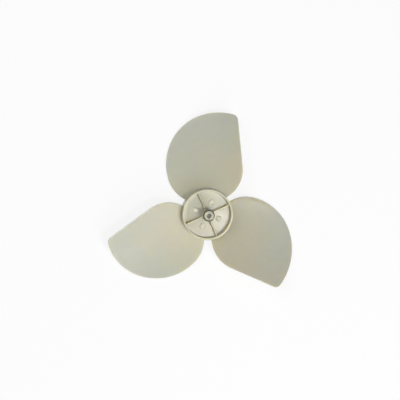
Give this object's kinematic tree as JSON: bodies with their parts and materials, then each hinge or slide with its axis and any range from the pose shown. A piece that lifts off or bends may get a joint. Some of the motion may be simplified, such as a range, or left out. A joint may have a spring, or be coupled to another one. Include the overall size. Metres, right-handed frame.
{
  "type": "refrigerator fan blade",
  "caption": "Moulded ivory fan with broad cambered blades round a ribbed hub cup, and a slit shaft collet gripped by a dark spring ring.",
  "frame": {"origin": "on the shaft axis, in the plane of the hub's open rim", "axes": "+Z along the shaft axis, out of the hub's open side; +Y is up in the picture, so the fan lies on its leading edges with the open side up"},
  "size_m": [0.133, 0.1242, 0.0223],
  "materials": {
    "ivory_plastic": "satin ivory moulding, slightly warm in the thick places",
    "spring_steel": "blackened spring wire with an oily sheen"
  },
  "bodies": {
    "root": {"fan_moulding": "ivory_plastic", "spring_ring": "spring_steel"}
  },
  "joints": []
}
